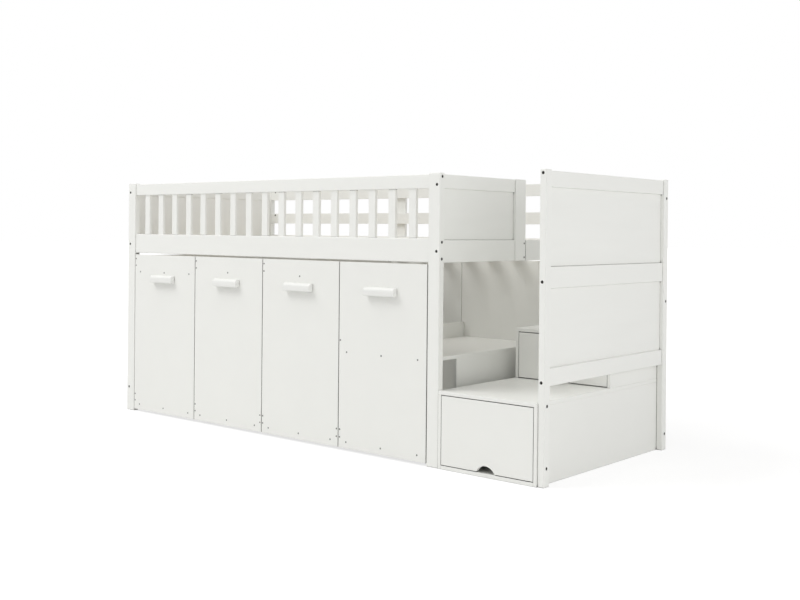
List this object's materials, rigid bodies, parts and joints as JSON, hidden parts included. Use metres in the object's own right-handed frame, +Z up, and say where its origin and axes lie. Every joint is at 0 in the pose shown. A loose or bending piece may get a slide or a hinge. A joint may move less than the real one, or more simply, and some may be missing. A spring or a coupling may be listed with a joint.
{
  "type": "loft bed with desk",
  "caption": "Low loft bed with a slatted guard and drawer stairs at one end, over roll-out units: a desk, wardrobes with a hanging rod and a bench.",
  "frame": {"origin": "middle of the whole footprint, on the floor", "axes": "+X along the bed towards the stairs, -Y towards the front with the handles, +Z up"},
  "size_m": [2.562, 1.005, 1.176],
  "materials": {
    "frame_paint": "white painted solid wood, satin",
    "board_paint": "white painted board, satin",
    "drawer_paint": "white painted plywood, matt",
    "handle_plastic": "white moulded plastic, satin",
    "deck_timber": "bare planed pine",
    "wheel_plastic": "grey moulded plastic"
  },
  "bodies": {
    "frame": {"front_left_post": "frame_paint", "front_right_post": "frame_paint", "rear_left_post": "frame_paint", "rear_right_post": "frame_paint", "front_guard": "frame_paint", "front_side_rail": "frame_paint", "rear_top_rail": "frame_paint", "rear_mid_rail": "frame_paint", "rear_side_rail": "frame_paint", "rear_mid_post": "frame_paint", "left_guard": "frame_paint", "left_end_rail": "frame_paint", "left_low_rail": "frame_paint", "right_guard": "frame_paint", "right_end_rail": "frame_paint", "right_mid_post": "frame_paint", "outer_front_post": "frame_paint", "outer_rear_post": "frame_paint", "outer_upper_guard": "frame_paint", "outer_mid_rail": "frame_paint", "outer_lower_guard": "frame_paint", "stair_rear_mid_rail": "frame_paint", "stair_rear_top_rail": "frame_paint", "slat_deck": "deck_timber", "stair_base_board": "board_paint", "stair_left_side": "board_paint", "stair_right_side": "board_paint", "lower_tread": "board_paint", "upper_left_side": "board_paint", "upper_right_side": "board_paint", "upper_tread": "board_paint", "stair_back_panel": "board_paint"},
    "lower_drawer": {"lower_drawer_front": "board_paint", "lower_drawer_box": "drawer_paint"},
    "upper_drawer": {"upper_drawer_front": "board_paint", "upper_drawer_box": "drawer_paint"},
    "desk_unit": {"desk_front_panel": "board_paint", "desk_handle": "handle_plastic", "desk_carcass": "board_paint", "desk_top": "board_paint"},
    "wardrobe_1_unit": {"wardrobe_1_front_panel": "board_paint", "wardrobe_1_handle": "handle_plastic", "wardrobe_1_carcass": "board_paint", "wardrobe_1_rod": "board_paint"},
    "wardrobe_2_unit": {"wardrobe_2_front_panel": "board_paint", "wardrobe_2_handle": "handle_plastic", "wardrobe_2_carcass": "board_paint", "wardrobe_2_rod": "board_paint"},
    "bench_unit": {"bench_front_panel": "board_paint", "bench_handle": "handle_plastic", "bench_carcass": "board_paint", "bench_board": "board_paint"},
    "desk_front_wheels": {"desk_front_wheelset": "wheel_plastic"},
    "desk_rear_wheels": {"desk_rear_wheelset": "wheel_plastic"},
    "wardrobe_1_front_wheels": {"wardrobe_1_front_wheelset": "wheel_plastic"},
    "wardrobe_1_rear_wheels": {"wardrobe_1_rear_wheelset": "wheel_plastic"},
    "wardrobe_2_front_wheels": {"wardrobe_2_front_wheelset": "wheel_plastic"},
    "wardrobe_2_rear_wheels": {"wardrobe_2_rear_wheelset": "wheel_plastic"},
    "bench_front_wheels": {"bench_front_wheelset": "wheel_plastic"},
    "bench_rear_wheels": {"bench_rear_wheelset": "wheel_plastic"}
  },
  "joints": [
    {"name": "desk_roll_out", "type": "slide", "parent": "frame", "child": "desk_unit", "axis": [0, -1, 0], "range_m": [0, 0.8]},
    {"name": "wardrobe_1_roll_out", "type": "slide", "parent": "frame", "child": "wardrobe_1_unit", "axis": [0, -1, 0], "range_m": [0, 0.8]},
    {"name": "wardrobe_2_roll_out", "type": "slide", "parent": "frame", "child": "wardrobe_2_unit", "axis": [0, -1, 0], "range_m": [0, 0.8]},
    {"name": "bench_roll_out", "type": "slide", "parent": "frame", "child": "bench_unit", "axis": [0, -1, 0], "range_m": [0, 0.8]},
    {"name": "lower_drawer_slide", "type": "slide", "parent": "frame", "child": "lower_drawer", "axis": [0, -1, 0], "range_m": [0, 0.4]},
    {"name": "upper_drawer_slide", "type": "slide", "parent": "frame", "child": "upper_drawer", "axis": [0, -1, 0], "range_m": [0, 0.33]},
    {"name": "desk_front_wheels_turn", "type": "hinge", "parent": "desk_unit", "child": "desk_front_wheels", "pos_m": [-0.9775, -0.3675, 0.013], "axis": [1, 0, 0], "continuous": true},
    {"name": "desk_rear_wheels_turn", "type": "hinge", "parent": "desk_unit", "child": "desk_rear_wheels", "pos_m": [-0.9775, 0.2975, 0.013], "axis": [1, 0, 0], "continuous": true},
    {"name": "wardrobe_1_front_wheels_turn", "type": "hinge", "parent": "wardrobe_1_unit", "child": "wardrobe_1_front_wheels", "pos_m": [-0.4905, -0.3675, 0.013], "axis": [1, 0, 0], "continuous": true},
    {"name": "wardrobe_1_rear_wheels_turn", "type": "hinge", "parent": "wardrobe_1_unit", "child": "wardrobe_1_rear_wheels", "pos_m": [-0.4905, 0.2975, 0.013], "axis": [1, 0, 0], "continuous": true},
    {"name": "wardrobe_2_front_wheels_turn", "type": "hinge", "parent": "wardrobe_2_unit", "child": "wardrobe_2_front_wheels", "pos_m": [-0.0035, -0.3675, 0.013], "axis": [1, 0, 0], "continuous": true},
    {"name": "wardrobe_2_rear_wheels_turn", "type": "hinge", "parent": "wardrobe_2_unit", "child": "wardrobe_2_rear_wheels", "pos_m": [-0.0035, 0.2975, 0.013], "axis": [1, 0, 0], "continuous": true},
    {"name": "bench_front_wheels_turn", "type": "hinge", "parent": "bench_unit", "child": "bench_front_wheels", "pos_m": [0.4835, -0.3675, 0.013], "axis": [1, 0, 0], "continuous": true},
    {"name": "bench_rear_wheels_turn", "type": "hinge", "parent": "bench_unit", "child": "bench_rear_wheels", "pos_m": [0.4835, 0.2975, 0.013], "axis": [1, 0, 0], "continuous": true}
  ],
  "couplings": [
    {"joint": "desk_front_wheels_turn", "follows": "desk_roll_out", "rad_per_m": 76.923},
    {"joint": "desk_rear_wheels_turn", "follows": "desk_roll_out", "rad_per_m": 76.923},
    {"joint": "wardrobe_1_front_wheels_turn", "follows": "wardrobe_1_roll_out", "rad_per_m": 76.923},
    {"joint": "wardrobe_1_rear_wheels_turn", "follows": "wardrobe_1_roll_out", "rad_per_m": 76.923},
    {"joint": "wardrobe_2_front_wheels_turn", "follows": "wardrobe_2_roll_out", "rad_per_m": 76.923},
    {"joint": "wardrobe_2_rear_wheels_turn", "follows": "wardrobe_2_roll_out", "rad_per_m": 76.923},
    {"joint": "bench_front_wheels_turn", "follows": "bench_roll_out", "rad_per_m": 76.923},
    {"joint": "bench_rear_wheels_turn", "follows": "bench_roll_out", "rad_per_m": 76.923}
  ]
}
